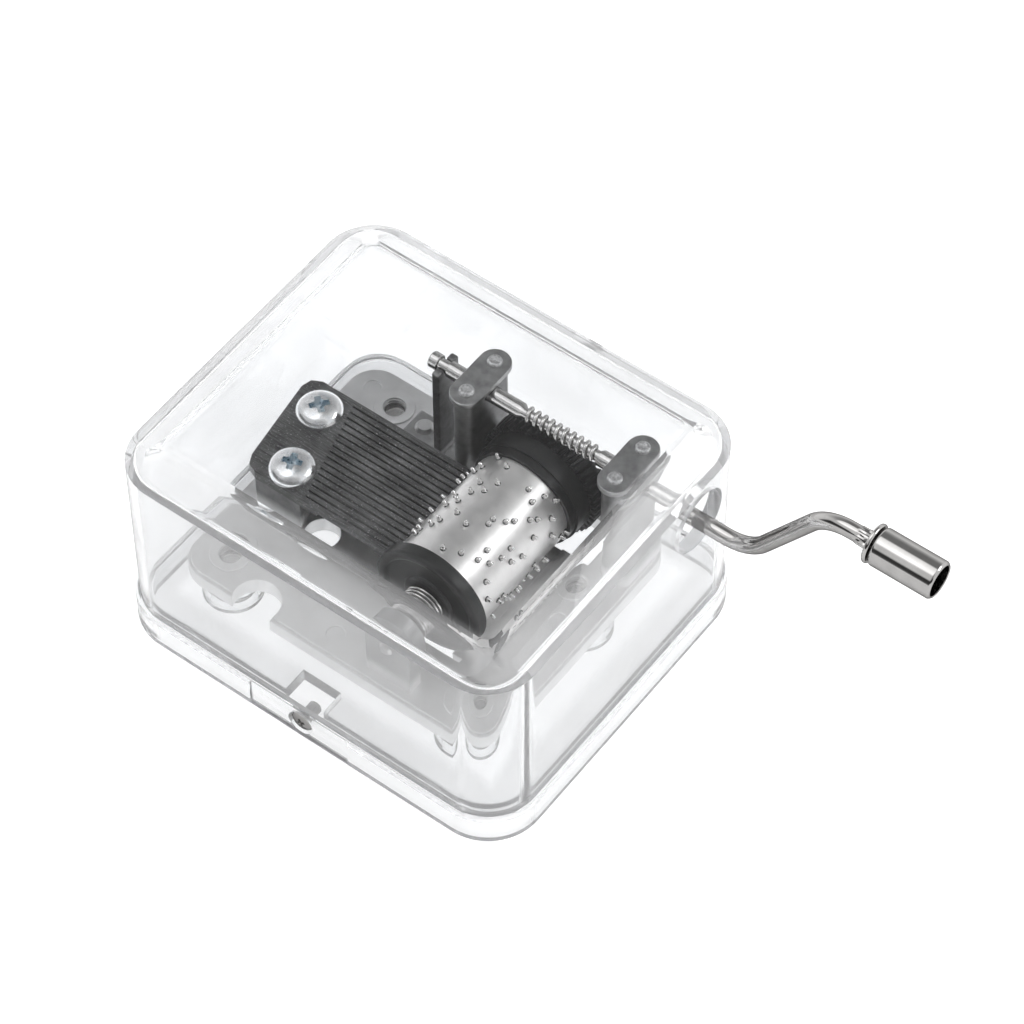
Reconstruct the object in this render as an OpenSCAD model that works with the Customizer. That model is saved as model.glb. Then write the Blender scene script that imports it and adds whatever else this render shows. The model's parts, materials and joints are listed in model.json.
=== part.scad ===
// Hand-crank music box: clear two-part case with an 18 note comb movement.
// +X runs along the crank shaft to the handle, +Y along the pinned drum, +Z up.

/* [Case] */
// Length of the clear cover along the crank shaft
case_l = 60; // [58:0.5:66]
// Width of the clear cover along the drum
case_w = 51.3; // [50.3:0.1:58]
// Height of the flat window above the table
case_h = 34.4; // [33.6:0.1:40]
// Radius of the upright corners of the cover
corner_r = 7; // [6:0.5:9]
// Wall thickness of both clear mouldings
wall = 1.9; // [1.7:0.1:2.2]
// Height of the joint between tray and cover
joint_z = 5.2; // [4.9:0.1:5.6]
// Diameter of the crank hole in the end wall
crank_hole_d = 9.1; // [8:0.1:10]

/* [Comb] */
// Number of teeth on the comb
tooth_count = 18; // [12:1:20]
// Width of the slit between two teeth
slit_w = 0.26; // [0.2:0.01:0.35]
// Thickness of the comb steel
comb_t = 1.4; // [1.2:0.1:1.8]

/* [Drum] */
// Radius of the drum sleeve
drum_r = 6.9; // [6.6:0.05:7]
// Length of the drum sleeve
drum_l = 17.5; // [17:0.1:17.8]
// Height of a pin above the sleeve
pin_h = 0.75; // [0.55:0.05:0.8]
// Diameter of a pin
pin_d = 0.46; // [0.36:0.02:0.56]

/* [Worm drive] */
// Teeth on the worm wheel
wheel_teeth = 48; // [46:1:49]
// Axial pitch of the single start worm
worm_pitch = 1.08; // [1.06:0.01:1.1]

/* [Crank] */
// Diameter of the crank shaft
shaft_d = 2.2; // [2:0.1:2.4]
// Offset of the handle from the shaft
crank_throw = 15.1; // [12:0.1:17]
// Bend angle of the crank
bend_a = 56; // [45:1:70]
// Outside diameter of the handle thimble
handle_d = 5; // [4.8:0.1:7]
// Length of the handle thimble
handle_l = 8.5; // [7:0.1:12]

/* [Hidden] */
$fn = 48;
eps = 0.01;

// Colours for the preview
clear = [0.86, 0.89, 0.92, 0.28];
zinc = [0.66, 0.66, 0.67];
nickel = [0.8, 0.8, 0.8];
dark_steel = [0.28, 0.28, 0.29];
black = [0.06, 0.06, 0.06];

// Case
hx = case_l / 2;
hy = case_w / 2;
edge_drop = 3.1;
edge_z = case_h - edge_drop;
facet_in = 3;
facet_up = 2.5;
window_in = 5.63;
roof_in = 5.3;
roof_z = edge_z + 0.29;
tray_out = 0.6;
tray_wall = 2.2;
floor_t = 2.4;
floor_z = joint_z + 1.2;
fit = 0.15;

// Cover bosses and their screws
boss_x = -0.6;
boss_w = 5.4;
boss_d = 3.4;
side_screw_z = 2.6;
side_screw_r = 0.9;
side_head_r = 1.6;
pad_w = 15.2;
pad_in = 0.35;

// Movement, placed from the end wall behind the comb
left_x = wall - hx;
bed_z = floor_z;
bed_t = 2.6;
bed_top = bed_z + bed_t;
bed_x0 = left_x + 2.5;
bed_x1 = left_x + 49.5;
bed_y0 = -18;
bed_y1 = 20.2;
bed_r = 4;
mount_pts = [[left_x + 10.2, 15.6], [left_x + 7.6, -13.2], [left_x + 44.5, -13.2], [left_x + 44.9, 7.2]];
mount_r = 1.5;

// Drum
drum_x = left_x + 35.05;
drum_z = bed_z + 9.5;
drum_mid = 0.95;
drum_y0 = drum_mid - drum_l / 2;
drum_y1 = drum_mid + drum_l / 2;
sleeve_t = 0.6;
pin_r = drum_r + pin_h;
arbor_r = 1;
cap_r = 7.8;
cap_t = 2;

// Worm and wheel
shaft_y = 14.8;
wheel_w = 3;
wheel_y0 = shaft_y - wheel_w / 2;
wheel_pr = wheel_teeth * worm_pitch / (2 * PI);
worm_pr = 1.05;
tooth_up = 0.3;
tooth_down = 0.45;
thread_up = 0.3;
thread_root = 0.7;
lead_a = atan(worm_pitch / (2 * PI * worm_pr));
shaft_z = drum_z + wheel_pr + worm_pr;
shaft_r = shaft_d / 2;
worm_back = 2.75;
worm_fwd = 6.75;
worm_x0 = drum_x - worm_back * worm_pitch - 0.45;
worm_x1 = drum_x + worm_fwd * worm_pitch + 0.45;

// Comb
tip_gap = 0.1;
comb_top = drum_z - 0.4;
comb_w = drum_l - 1.1;
tooth_pitch = comb_w / tooth_count;
comb_y0 = drum_mid + 0.5 - comb_w / 2;
comb_y1 = comb_y0 + comb_w;
tip_x = drum_x - sqrt(pow(pin_r + tip_gap, 2) - pow(drum_z - comb_top, 2));
back_x0 = left_x + 3.7;
back_x1 = left_x + 1.7;
root_x0 = left_x + 13.3;
root_x1 = left_x + 8.8;
comb_screw_pts = [[left_x + 9.3, -3.7], [left_x + 6.4, 5.4]];
comb_screw_r = 1.5;
comb_head_r = 3.1;

// Bearings of the crank shaft
cap_x = [drum_x - 10.25, drum_x + 12.3];
rivet_off = 2.9;
cap_w = 4.3;
cap_plate_t = 0.9;
post_w = 3.2;
post_top = shaft_z + shaft_r + 0.05;
bore_gap = 0.05;
fork_x = cap_x[0] - 6.1;
fork_t = 1.1;
fork_w = 4.2;
groove_r = shaft_r - 0.3;
shaft_x0 = fork_x - 1.5;

// Crank
bend_r = 4.5;
bend_x = hx + 4.2;
lap = 0.1;
bend_wire_r = shaft_r + 0.012;
arm_l = (crank_throw - 2 * bend_r * (1 - cos(bend_a))) / sin(bend_a);
arm_x = bend_x + bend_r * sin(bend_a);
arm_z = shaft_z + bend_r * (1 - cos(bend_a));
top_x = arm_x + arm_l * cos(bend_a);
top_z = arm_z + arm_l * sin(bend_a);
grip_x = top_x + bend_r * sin(bend_a);
grip_z = shaft_z + crank_throw;
spindle_r = shaft_r - 0.1;
washer_x = grip_x + 4.7;
washer_t = 0.55;
handle_x = washer_x + washer_t + 0.3;
handle_r = handle_d / 2;
handle_end_t = 1.2;

// Case mouldings ------------------------------------------------------------

// Cover profile as inset and height, from the open rim up to the flat window
function cover_profile(z0, drop, r) = [
  [0, z0],
  [0, edge_z - drop],
  [facet_in, edge_z + facet_up - drop],
  [min(window_in, r - 0.3), case_h - drop]
];

// Mirror a profile about the middle of a body of half width h
function bar_outline(h, p) = concat(
  [for (q = p) [h - q[0], q[1]]],
  [for (i = [len(p) - 1:-1:0]) [p[i][0] - h, p[i][1]]]
);

function corner_outline(r, p) = concat(
  [[0, p[0][1]]],
  [for (q = p) [r - q[0], q[1]]],
  [[0, p[len(p) - 1][1]]]
);

// Rounded block whose four sides and corners all follow one profile
module profiled_block(bx, by, r, p) {
  translate([r - bx, 0, 0])
    rotate([90, 0, 90])
      linear_extrude(2 * (bx - r))
        polygon(bar_outline(by, p));
  translate([0, by - r, 0])
    rotate([90, 0, 0])
      linear_extrude(2 * (by - r))
        polygon(bar_outline(bx, p));
  for (sx = [-1, 1], sy = [-1, 1])
    translate([sx * (bx - r), sy * (by - r), 0])
      rotate_extrude()
        polygon(corner_outline(r, p));
}

// Gentle roof slopes that meet in mitres at the corners
module roof_planes(bx, by, drop) {
  rise = (case_h - roof_z) / roof_in;
  over = 1.5;
  z0 = -2;
  z1 = case_h - drop + over;
  inset = roof_in + over / rise;
  intersection() {
    translate([-bx - 1, 0, 0])
      rotate([90, 0, 90])
        linear_extrude(2 * bx + 2)
          polygon(bar_outline(by, [[0, z0], [0, roof_z - drop], [inset, z1]]));
    translate([0, by + 1, 0])
      rotate([90, 0, 0])
        linear_extrude(2 * by + 2)
          polygon(bar_outline(bx, [[0, z0], [0, roof_z - drop], [inset, z1]]));
  }
}

module cover_skin(inset, z0, drop) {
  intersection() {
    profiled_block(hx - inset, hy - inset, corner_r - inset,
      cover_profile(z0, drop, corner_r - inset));
    roof_planes(hx - inset, hy - inset, drop);
  }
}

// Lug below the cover rim that the side screw holds, on the +Y side
module cover_lug() {
  lug_top = joint_z + 3;
  lug_low = 1.3;
  difference() {
    union() {
      translate([boss_x - boss_w / 2, hy - wall - boss_d, lug_low])
        cube([boss_w, boss_d, lug_top - lug_low]);
      translate([boss_x - boss_w / 2, hy - wall - eps, joint_z + eps])
        cube([boss_w, 0.3, lug_top - joint_z - eps]);
    }
    translate([boss_x, hy - wall - boss_d - 1, side_screw_z])
      rotate([-90, 0, 0])
        cylinder(r = side_screw_r, h = boss_d + 3);
  }
}

module upper_case() {
  color(clear) {
    difference() {
      cover_skin(0, joint_z, 0);
      cover_skin(wall, joint_z - 1, wall);
      translate([hx - wall - 1, shaft_y, shaft_z])
        rotate([0, 90, 0])
          cylinder(d = crank_hole_d, h = wall + 2);
    }
    cover_lug();
    rotate([0, 0, 180])
      translate([-2 * boss_x, 0, 0])
        cover_lug();
  }
}

module side_screw_hole() {
  yo = hy + tray_out;
  translate([boss_x, yo - tray_wall - 1, side_screw_z])
    rotate([-90, 0, 0])
      cylinder(r = side_screw_r + 0.1, h = tray_wall + 2);
  translate([boss_x, yo - pad_in - 0.9, side_screw_z])
    rotate([-90, 0, 0])
      cylinder(r = side_head_r + 0.2, h = 3);
  translate([boss_x - pad_w / 2, yo - pad_in, 0.9])
    cube([pad_w, 1, joint_z]);
  translate([boss_x - boss_w / 2 - 0.2, hy - wall - boss_d - 0.3, 1])
    cube([boss_w + 0.4, boss_d + 0.3 + tray_out + wall - tray_wall, joint_z + 4]);
}

module base_tray() {
  bx = hx + tray_out;
  by = hy + tray_out;
  br = corner_r + tray_out;
  px = hx - wall - fit;
  py = hy - wall - fit;
  pr = corner_r - wall - fit;
  color(clear)
    difference() {
      union() {
        difference() {
          profiled_block(bx, by, br, [[0.6, 0], [0, 0.6], [0, joint_z - 0.3], [0.3, joint_z]]);
          profiled_block(bx - tray_wall, by - tray_wall, br - tray_wall,
            [[0, -1], [0, floor_z - floor_t]]);
        }
        profiled_block(px, py, pr, [[0, joint_z - 0.5], [0, floor_z - 0.3], [0.3, floor_z]]);
        for (p = mount_pts)
          translate([p[0], p[1], 0.8])
            cylinder(r = 4, h = floor_z - 1.5);
      }
      for (p = mount_pts) {
        translate([p[0], p[1], -1])
          cylinder(r = mount_r + 0.15, h = floor_z + 3);
        translate([p[0], p[1], -1])
          cylinder(r = 2.9, h = 4);
      }
      side_screw_hole();
      rotate([0, 0, 180])
        translate([-2 * boss_x, 0, 0])
          side_screw_hole();
    }
}

// Cross recess of a Phillips screw, cut downwards from z = 0
module cross_recess(w, t, deep) {
  translate([-w / 2, -t / 2, -deep])
    cube([w, t, deep + 1]);
  translate([-t / 2, -w / 2, -deep])
    cube([t, w, deep + 1]);
  translate([0, 0, -deep - t / 4])
    cylinder(r1 = t / 4, r2 = t * 0.9, h = deep + t / 4 + eps);
}

module side_screw() {
  yr = hy + tray_out - pad_in;
  translate([boss_x, yr - 0.9, side_screw_z])
    rotate([-90, 0, 0])
      difference() {
        union() {
          cylinder(r = side_head_r, h = 0.6);
          translate([0, 0, 0.6])
            cylinder(r1 = side_head_r, r2 = side_head_r - 0.35, h = 0.25);
          translate([0, 0, -3.6])
            cylinder(r = side_screw_r, h = 3.7);
        }
        translate([0, 0, 0.85])
          cross_recess(1.7, 0.5, 0.5);
      }
}

module side_screws() {
  color(nickel) {
    side_screw();
    rotate([0, 0, 180])
      translate([-2 * boss_x, 0, 0])
        side_screw();
  }
}

module movement_screws() {
  color(nickel)
    for (p = mount_pts)
      translate([p[0], p[1], 0])
        difference() {
          union() {
            translate([0, 0, 1.6])
              cylinder(r = 2.6, h = 1.4);
            translate([0, 0, 1.3])
              cylinder(r1 = 2.3, r2 = 2.6, h = 0.3);
            translate([0, 0, 2.9])
              cylinder(r = mount_r, h = bed_top - 2.9 - 0.9);
          }
          translate([0, 0, 1.3])
            mirror([0, 0, 1])
              cross_recess(2.8, 0.7, 0.9);
        }
}

// Movement frame ------------------------------------------------------------

module bed_outline(z0, h, inset) {
  x0 = bed_x0 + inset;
  x1 = bed_x1 - inset;
  y0 = bed_y0 + inset;
  y1 = bed_y1 - inset;
  r = bed_r - inset;
  translate([x0 + r, y0, z0])
    cube([x1 - x0 - 2 * r, y1 - y0, h]);
  translate([x0, y0 + r, z0])
    cube([x1 - x0, y1 - y0 - 2 * r, h]);
  for (x = [x0 + r, x1 - r], y = [y0 + r, y1 - r])
    translate([x, y, z0])
      cylinder(r = r, h = h);
}

// Upright slab with a round top that carries one end of the drum arbor
module arbor_post(y0, t) {
  translate([drum_x - 3.4, y0, bed_top - eps])
    cube([6.8, t, drum_z - bed_top]);
  translate([drum_x, y0, drum_z])
    rotate([-90, 0, 0])
      cylinder(r = 3.4, h = t);
}

module shaft_post(x) {
  translate([x - post_w / 2, shaft_y - rivet_off, bed_top - eps])
    cube([post_w, 2 * rivet_off, post_top - bed_top + eps]);
  for (s = [-1, 1])
    translate([x, shaft_y + s * rivet_off, bed_top - eps])
      cylinder(d = post_w, h = post_top - bed_top + eps);
}

module comb_seat() {
  seat_y0 = comb_y0 + 0.1;
  seat_y1 = comb_y1 - 0.2;
  translate([0, 0, bed_top - eps])
    linear_extrude(comb_top - comb_t - bed_top + eps)
      polygon([
        [back_x0 + 0.3, seat_y0 + 1.6],
        [back_x0 + 1.9, seat_y0],
        [root_x0 - 0.6, seat_y0],
        [root_x1 - 0.3, seat_y1],
        [back_x1 + 2.2, seat_y1],
        [back_x1 + 0.6, seat_y1 - 1.8]
      ]);
}

module bedplate() {
  front_y = drum_y0 - cap_t - 6.6;
  rear_y = wheel_y0 + wheel_w + 0.9;
  color(zinc)
    difference() {
      union() {
        bed_outline(bed_z, bed_t - 0.4, 0);
        bed_outline(bed_z, bed_t, 0.4);
        comb_seat();
        arbor_post(front_y, 2.2);
        arbor_post(rear_y, 2.2);
        for (x = cap_x)
          shaft_post(x);
        for (p = mount_pts)
          translate([p[0], p[1], bed_top - eps])
            cylinder(r = 2.7, h = 0.3);
      }
      // Window that the drum and the wheel dip into
      translate([drum_x - 5.6, drum_y0 - cap_t - 0.8, bed_z - 1])
        cube([11.2, rear_y - drum_y0 + cap_t + 0.4, bed_t + 4]);
      translate([drum_x, wheel_y0 - 2.7, bed_z - 1])
        cube([9.1, wheel_w + 3.4, bed_t + 4]);
      // Round window beside the comb seat
      translate([root_x0 + 1.9, comb_y0 + 1.2, bed_z - 1])
        cylinder(r = 2.3, h = bed_t + 3);
      // Scallops in the casting beside the comb
      translate([bed_x0 + 12.1, bed_y0 + 1.2, bed_z - 1])
        cylinder(r = 3.2, h = bed_t + 3);
      translate([bed_x0 - 1, -4.5, bed_z - 1])
        cylinder(r = 3, h = bed_t + 0.8);
      for (p = mount_pts)
        translate([p[0], p[1], bed_z - 1])
          cylinder(r = mount_r, h = bed_t + 3);
      for (p = comb_screw_pts)
        translate([p[0], p[1], bed_z - 1])
          cylinder(r = comb_screw_r, h = 14);
      // Ejector marks
      for (p = [[bed_x0 + 3.3, 16.6], [bed_x0 + 23.1, -14.8], [bed_x1 - 3, 1.5]])
        translate([p[0], p[1], bed_top - 0.25])
          cylinder(r = 1.2, h = 1);
      // Arbor bore
      translate([drum_x, front_y - 1, drum_z])
        rotate([-90, 0, 0])
          cylinder(r = arbor_r + bore_gap, h = rear_y - front_y + 6);
      // Open half bearings of the crank shaft
      for (x = cap_x) {
        translate([x - 4, shaft_y, shaft_z])
          rotate([0, 90, 0])
            cylinder(r = shaft_r + bore_gap, h = 8);
        translate([x - 4, shaft_y - shaft_r - bore_gap, shaft_z])
          cube([8, 2 * (shaft_r + bore_gap), 6]);
        for (s = [-1, 1])
          translate([x, shaft_y + s * rivet_off, post_top - 2])
            cylinder(r = 0.8, h = 4);
      }
    }
}

// Comb ----------------------------------------------------------------------

function root_x(y) = root_x0 + (root_x1 - root_x0) * (y - comb_y0) / comb_w;

module comb() {
  color(dark_steel)
    difference() {
      translate([0, 0, comb_top - comb_t])
        linear_extrude(comb_t)
          polygon([
            [tip_x, comb_y0],
            [tip_x, comb_y1],
            [back_x1 + 1.9, comb_y1],
            [back_x1 + 0.5, comb_y1 - 0.7],
            [back_x1 + 0.1, comb_y1 - 2.2],
            [back_x0 - 0.1, comb_y0 + 2],
            [back_x0 + 0.6, comb_y0 + 0.6],
            [back_x0 + 2, comb_y0]
          ]);
      for (i = [1:tooth_count - 1])
        translate([root_x(comb_y0 + i * tooth_pitch), comb_y0 + i * tooth_pitch - slit_w / 2, 0])
          cube([40, slit_w, comb_top + 1]);
      // Ground relief under the teeth
      translate([tip_x - 11.8, comb_y0 - 1, comb_top - comb_t - 1])
        cube([9, comb_w + 2, 1.55]);
      for (p = comb_screw_pts)
        translate([p[0], p[1], 0])
          cylinder(r = comb_screw_r, h = 40);
    }
}

// Tuning weights under the free ends of the long teeth
module comb_weights() {
  count = floor(tooth_count / 2) - 1;
  color(zinc)
    for (i = [0:count - 1])
      translate([tip_x - 3, comb_y1 - (i + 1) * tooth_pitch + slit_w / 2 + 0.05, comb_top - comb_t - 1.5 + i * 0.12])
        cube([1.9, tooth_pitch - slit_w - 0.1, 1.5 - i * 0.12]);
}

module comb_screws() {
  color(nickel)
    for (p = comb_screw_pts)
      translate([p[0], p[1], comb_top])
        difference() {
          union() {
            cylinder(r = comb_head_r, h = 0.9);
            translate([0, 0, 0.9])
              intersection() {
                translate([0, 0, -4.2])
                  sphere(r = 5.25);
                cylinder(r = comb_head_r, h = 2);
              }
            translate([0, 0, bed_z + 0.5 - comb_top])
              cylinder(r = comb_screw_r, h = comb_top - bed_z);
          }
          translate([0, 0, 1.95])
            rotate([0, 0, 20])
              cross_recess(3.4, 0.8, 1.2);
        }
}

// Shaft bearings ------------------------------------------------------------

module bearing_caps() {
  color(dark_steel)
    for (x = cap_x)
      difference() {
        union() {
          translate([x - cap_w / 2, shaft_y - rivet_off, post_top])
            cube([cap_w, 2 * rivet_off, cap_plate_t]);
          for (s = [-1, 1])
            translate([x, shaft_y + s * rivet_off, post_top])
              cylinder(d = cap_w, h = cap_plate_t);
        }
        for (s = [-1, 1])
          translate([x, shaft_y + s * rivet_off, post_top - 1])
            cylinder(r = 0.8, h = 3);
      }
}

module cap_rivets() {
  color(zinc)
    for (x = cap_x, s = [-1, 1])
      translate([x, shaft_y + s * rivet_off, post_top - 1.9]) {
        cylinder(r = 0.8, h = 2 + cap_plate_t);
        translate([0, 0, 1.9 + cap_plate_t])
          cylinder(r1 = 1.15, r2 = 0.8, h = 0.35);
      }
}

module thrust_fork() {
  tip_z = shaft_z + 0.3;
  slot_r = groove_r + 0.1;
  foot_l = 6.2;
  y0 = shaft_y - fork_w / 2;
  color(dark_steel)
    difference() {
      union() {
        translate([fork_x, y0, bed_top])
          cube([fork_t, fork_w, tip_z - bed_top]);
        translate([fork_x + fork_t - foot_l, y0, bed_top])
          cube([foot_l, fork_w, fork_t]);
      }
      translate([fork_x - 1, shaft_y, shaft_z])
        rotate([0, 90, 0])
          cylinder(r = slot_r, h = 4);
      translate([fork_x - 1, shaft_y - slot_r, shaft_z])
        cube([4, 2 * slot_r, 3]);
      translate([fork_x - 3, shaft_y, bed_top - 1])
        cylinder(r = 0.9, h = 4);
    }
}

module fork_rivet() {
  color(zinc)
    translate([fork_x - 3, shaft_y, bed_top]) {
      cylinder(r = 0.9, h = fork_t + 0.1);
      translate([0, 0, fork_t])
        cylinder(r1 = 1.3, r2 = 0.9, h = 0.5);
    }
}

// Drum ----------------------------------------------------------------------

pin_steps = 64;
rows = [for (k = [0:tooth_count - 1]) 4 + (k * 5 + 2) % 5];

// Angle step of pin j on track k: a plain repeating figure, not a tune
function pin_step(k, j) = (k * 23 + j * floor(pin_steps / rows[k]) + (j * j * 3 + k) % 5) % pin_steps;

module on_pins() {
  for (k = [0:tooth_count - 1], j = [0:rows[k] - 1])
    translate([drum_x, comb_y0 + (k + 0.5) * tooth_pitch, drum_z])
      rotate([0, pin_step(k, j) * 360 / pin_steps, 0])
        children();
}

module drum_sleeve() {
  color(nickel)
    translate([drum_x, drum_y0, drum_z])
      rotate([-90, 0, 0])
        difference() {
          cylinder(r = drum_r, h = drum_l, $fn = 96);
          translate([0, 0, -1])
            cylinder(r = drum_r - sleeve_t, h = drum_l + 2, $fn = 96);
        }
}

module drum_pins() {
  color(nickel)
    on_pins()
      translate([0, 0, drum_r - 0.15])
        cylinder(d = pin_d, h = pin_h + 0.15, $fn = 16);
}

module drum_end_cap() {
  color(black)
    translate([drum_x, drum_y0 - cap_t, drum_z])
      rotate([-90, 0, 0])
        difference() {
          union() {
            cylinder(r1 = cap_r - 0.3, r2 = cap_r, h = 0.3);
            translate([0, 0, 0.3])
              cylinder(r = cap_r, h = cap_t - 0.3);
            cylinder(r = drum_r - sleeve_t, h = cap_t + 2);
          }
          translate([0, 0, -1])
            cylinder(r = arbor_r, h = cap_t + 5);
          translate([0, 0, -eps])
            difference() {
              cylinder(r = 6.2, h = 0.5);
              cylinder(r = 3.6, h = 0.6);
            }
        }
}

module wheel_tooth() {
  root = wheel_pr - tooth_down;
  top = wheel_pr + tooth_up;
  rotate([0, 0, -lead_a])
    translate([0, wheel_w / 2 + 1, 0])
      rotate([90, 0, 0])
        linear_extrude(wheel_w + 2)
          polygon([
            [-0.36, root - 0.3],
            [0.36, root - 0.3],
            [0.23, wheel_pr],
            [0.15, top + 0.1],
            [-0.15, top + 0.1],
            [-0.23, wheel_pr]
          ]);
}

module worm_wheel() {
  root = wheel_pr - tooth_down;
  top = wheel_pr + tooth_up;
  color(black)
    difference() {
      union() {
        translate([drum_x, drum_y1, drum_z])
          rotate([-90, 0, 0]) {
            cylinder(r = drum_r + 0.5, h = 1.2);
            translate([0, 0, 1.1])
              cylinder(r = root - 0.1, h = wheel_y0 - drum_y1);
            translate([0, 0, -2])
              cylinder(r = drum_r - sleeve_t, h = 2.2);
          }
        intersection() {
          translate([drum_x, wheel_y0, drum_z])
            rotate([-90, 0, 0])
              cylinder(r = top, h = wheel_w);
          translate([drum_x, shaft_y, drum_z])
            union() {
              translate([0, -wheel_w / 2 - 1, 0])
                rotate([-90, 0, 0])
                  cylinder(r = root, h = wheel_w + 2);
              for (i = [0:wheel_teeth - 1])
                rotate([0, (i + 0.5) * 360 / wheel_teeth, 0])
                  wheel_tooth();
            }
        }
        translate([drum_x, wheel_y0 + wheel_w - eps, drum_z])
          rotate([-90, 0, 0])
            cylinder(r = 2.6, h = 0.6);
      }
      translate([drum_x, drum_y0, drum_z])
        rotate([-90, 0, 0])
          cylinder(r = arbor_r, h = 40);
    }
}

module drum_arbor() {
  y0 = drum_y0 - cap_t - 7.2;
  y1 = wheel_y0 + wheel_w + 3.6;
  color(nickel)
    translate([drum_x, y0, drum_z])
      rotate([-90, 0, 0]) {
        translate([0, 0, 0.3])
          cylinder(r = arbor_r, h = y1 - y0 - 0.6);
        cylinder(r1 = arbor_r - 0.3, r2 = arbor_r, h = 0.3);
        translate([0, 0, y1 - y0 - 0.3])
          cylinder(r1 = arbor_r, r2 = arbor_r - 0.3, h = 0.3);
      }
}

// Close wound damping spring on the arbor, between end cap and front post
module arbor_spring() {
  coil_r = 2.5;
  wire_r = 0.34;
  turns = 6;
  color(nickel)
    translate([drum_x, drum_y0 - cap_t - wire_r - 0.02, drum_z])
      rotate([90, 0, 0])
        for (i = [0:turns - 1])
          translate([0, 0, i * 0.66])
            rotate_extrude()
              translate([coil_r, 0])
                circle(r = wire_r, $fn = 16);
}

// Crank ---------------------------------------------------------------------

module rod(x0, x1, r) {
  translate([x0, shaft_y, shaft_z])
    rotate([0, 90, 0])
      cylinder(r = r, h = x1 - x0);
}

module taper(x0, x1, ra, rb) {
  translate([x0, shaft_y, shaft_z])
    rotate([0, 90, 0])
      cylinder(r1 = ra, r2 = rb, h = x1 - x0);
}

module crank_shaft() {
  groove_x0 = fork_x - 0.2;
  groove_x1 = fork_x + fork_t + 0.2;
  color(nickel) {
    taper(shaft_x0, shaft_x0 + 0.2, shaft_r - 0.2, shaft_r);
    rod(shaft_x0 + 0.2, groove_x0, shaft_r);
    rod(groove_x0, groove_x1, groove_r);
    rod(groove_x1, worm_x0 - 0.5, shaft_r);
    taper(worm_x0 - 0.5, worm_x0, shaft_r, thread_root);
    rod(worm_x0, worm_x1, thread_root);
    taper(worm_x1, worm_x1 + 0.5, thread_root, shaft_r);
    rod(worm_x1 + 0.5, bend_x + lap, shaft_r);
    translate([bend_x, shaft_y, shaft_z + bend_r])
      rotate([90, 0, 0])
        rotate([0, 0, -90])
          rotate_extrude(angle = bend_a)
            translate([bend_r, 0])
              circle(r = bend_wire_r, $fn = 32);
    translate([arm_x, shaft_y, arm_z])
      rotate([0, 90 - bend_a, 0])
        translate([0, 0, -lap])
          cylinder(r = shaft_r, h = arm_l + 2 * lap);
    translate([grip_x, shaft_y, grip_z - bend_r])
      rotate([90, 0, 0])
        rotate([0, 0, 90])
          rotate_extrude(angle = bend_a)
            translate([bend_r, 0])
              circle(r = bend_wire_r, $fn = 32);
    translate([grip_x - lap, shaft_y, grip_z])
      rotate([0, 90, 0])
        cylinder(r = shaft_r, h = washer_x - grip_x + lap);
    translate([washer_x - 0.5, shaft_y, grip_z])
      rotate([0, 90, 0])
        cylinder(r = spindle_r, h = handle_x + handle_end_t + 1.5 - washer_x);
    // Crimped ears that hold the washer
    translate([washer_x - 1.7, shaft_y - shaft_r - 0.2, grip_z - 0.45])
      cube([1.1, 2 * shaft_r + 0.4, 0.9]);
  }
}

// Single start right hand thread, centred on the wheel where it engages
thread_seg = 24;
thread_turns = worm_back + worm_fwd;
thread_n = round(thread_turns * thread_seg);
seat_r = thread_root / cos(180 / thread_seg);

function thread_ring(i) =
  let (
    t = -worm_back + i / thread_seg,
    a = 360 * t - 90,
    x = drum_x + worm_pitch * t,
    grow = min(1, min(i, thread_n - i) / (thread_seg / 2)),
    crest = seat_r + (worm_pr + thread_up - seat_r) * (0.15 + 0.85 * grow)
  ) [
    [x - 0.28, shaft_y + seat_r * cos(a), shaft_z + seat_r * sin(a)],
    [x - 0.11, shaft_y + crest * cos(a), shaft_z + crest * sin(a)],
    [x + 0.11, shaft_y + crest * cos(a), shaft_z + crest * sin(a)],
    [x + 0.28, shaft_y + seat_r * cos(a), shaft_z + seat_r * sin(a)]
  ];

module worm_thread() {
  pts = [for (i = [0:thread_n]) each thread_ring(i)];
  sides = [for (i = [0:thread_n - 1], k = [0:3]) each
    let (a = 4 * i + k, b = 4 * i + (k + 1) % 4) [[a, b, a + 4], [b, b + 4, a + 4]]];
  ends = [[3, 2, 1], [3, 1, 0], [4 * thread_n, 4 * thread_n + 1, 4 * thread_n + 2],
    [4 * thread_n, 4 * thread_n + 2, 4 * thread_n + 3]];
  color(nickel)
    polyhedron(points = pts, faces = concat(sides, ends));
}

module handle_washer() {
  color(nickel)
    translate([washer_x, shaft_y, grip_z])
      rotate([0, 90, 0])
        difference() {
          cylinder(r = handle_r + 0.1, h = washer_t);
          translate([0, 0, -1])
            cylinder(r = spindle_r, h = 3);
        }
}

module handle_rivet() {
  color(nickel)
    translate([handle_x + handle_end_t + 0.1, shaft_y, grip_z])
      rotate([0, 90, 0])
        difference() {
          cylinder(r1 = 1.6, r2 = 1.35, h = 0.7);
          translate([0, 0, -1])
            cylinder(r = spindle_r, h = 1.9);
        }
}

module handle() {
  lip = 0.25;
  color(nickel)
    translate([handle_x, shaft_y, grip_z])
      rotate([0, 90, 0])
        difference() {
          union() {
            cylinder(r1 = handle_r - lip, r2 = handle_r, h = lip);
            translate([0, 0, lip])
              cylinder(r = handle_r, h = handle_l - 2 * lip);
            translate([0, 0, handle_l - lip])
              cylinder(r1 = handle_r, r2 = handle_r - lip, h = lip);
          }
          translate([0, 0, handle_end_t])
            cylinder(r = handle_r - 0.55, h = handle_l);
          translate([0, 0, -1])
            cylinder(r = spindle_r + bore_gap, h = handle_l);
        }
}

// Assembly ------------------------------------------------------------------

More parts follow.
